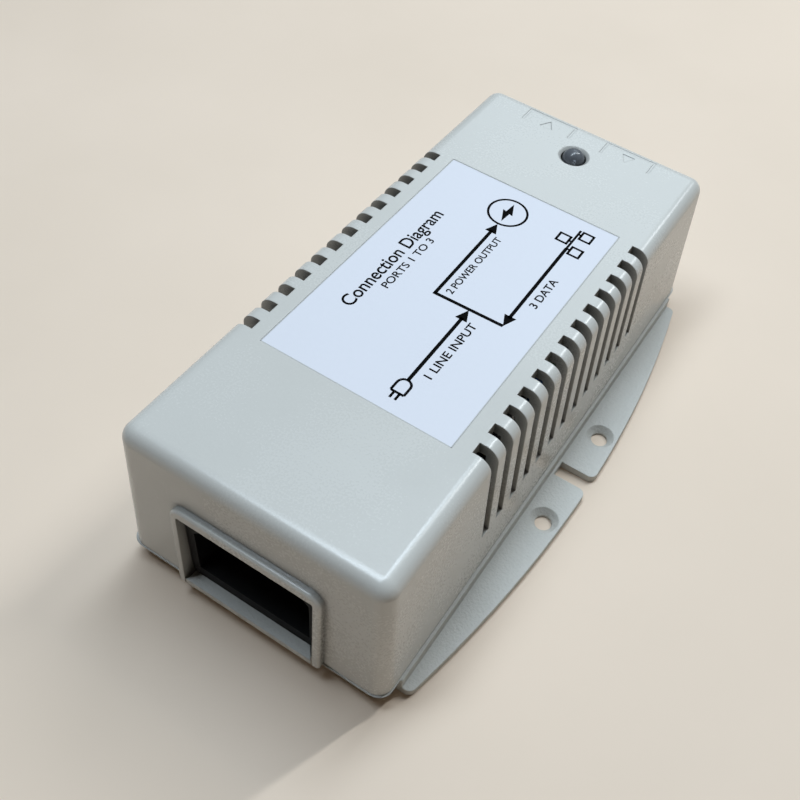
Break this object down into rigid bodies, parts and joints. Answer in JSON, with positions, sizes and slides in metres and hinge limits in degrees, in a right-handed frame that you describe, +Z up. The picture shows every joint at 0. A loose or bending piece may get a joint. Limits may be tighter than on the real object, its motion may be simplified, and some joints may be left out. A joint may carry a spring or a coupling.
{
  "type": "power over ethernet injector",
  "caption": "Vented rectangular power injector case with side mounting flanges, a mains inlet at one end and two network jacks at the other.",
  "frame": {"origin": "centre of the bounding box on the plane the base rests on", "axes": "+Z up out of the label side, -Y towards the mains inlet, +Y towards the two network jacks, +X to the right seen from the inlet end"},
  "size_m": [0.0738, 0.1262, 0.0394],
  "materials": {
    "cover_plastic": "fine moulded texture",
    "base_plastic": "grained moulding",
    "label_film": "printed film, satin",
    "black_plastic": "fine texture",
    "lens_plastic": "diffused lens",
    "plated_brass": "nickel plated",
    "contact_alloy": "gold flashed",
    "tinned_steel": "tinned",
    "shield_steel": "nickel plated sheet",
    "zinc_steel": "zinc plated",
    "board_laminate": "green solder mask",
    "fish_paper": "smooth insulation sheet",
    "sleeve_black": "shrunk sleeve",
    "blue_epoxy": "dipped epoxy",
    "green_epoxy": "dipped epoxy",
    "yellow_box": "moulded box",
    "ferrite": "sintered",
    "copper_wire": "enamelled copper",
    "winding_tape": "polyester tape",
    "bobbin_plastic": "phenolic",
    "heatsink_metal": "mill finish"
  },
  "bodies": {
    "case": {"top_cover": "cover_plastic", "base_tray": "base_plastic", "case_screws": "zinc_steel", "product_label": "label_film", "main_pcb": "board_laminate", "insulation_sheet": "fish_paper", "pcb_screws": "zinc_steel", "inlet_housing": "black_plastic", "inlet_line_pin": "plated_brass", "inlet_neutral_pin": "plated_brass", "inlet_earth_pin": "plated_brass", "led_lens": "lens_plastic", "led_leads": "tinned_steel", "led_spacer": "black_plastic", "data_in_jack_insert": "black_plastic", "data_in_jack_shield": "shield_steel", "data_in_contact_tails": "contact_alloy", "power_out_jack_insert": "black_plastic", "power_out_jack_shield": "shield_steel", "power_out_contact_tails": "contact_alloy", "fuse": "bobbin_plastic", "varistor": "blue_epoxy", "thermistor": "green_epoxy", "x_capacitor": "yellow_box", "line_choke_core": "ferrite", "line_choke_windings": "copper_wire", "bridge_rectifier": "black_plastic", "bulk_capacitor": "sleeve_black", "switch_transistor": "black_plastic", "primary_heatsink": "heatsink_metal", "transformer_core": "ferrite", "transformer_bobbin": "bobbin_plastic", "transformer_winding": "winding_tape", "y_capacitor": "blue_epoxy", "optocoupler": "black_plastic", "controller_chip": "black_plastic", "output_rectifier": "black_plastic", "output_heatsink": "heatsink_metal", "heatsink_screws": "zinc_steel", "output_capacitors": "sleeve_black", "output_choke_core": "ferrite", "output_choke_winding": "copper_wire", "data_transformer": "black_plastic"},
    "data_in_contacts": {"data_in_contact_springs": "contact_alloy"},
    "power_out_contacts": {"power_out_contact_springs": "contact_alloy"}
  },
  "joints": [
    {"name": "data_in_contact_flex", "type": "hinge", "parent": "case", "child": "data_in_contacts", "pos_m": [0.0098, 0.05999, 0.00775], "axis": [1, 0, 0], "range_deg": [0, 8], "stiffness_Nm_per_rad": 0.3},
    {"name": "power_out_contact_flex", "type": "hinge", "parent": "case", "child": "power_out_contacts", "pos_m": [-0.0098, 0.05999, 0.00775], "axis": [1, 0, 0], "range_deg": [0, 8], "stiffness_Nm_per_rad": 0.3}
  ]
}
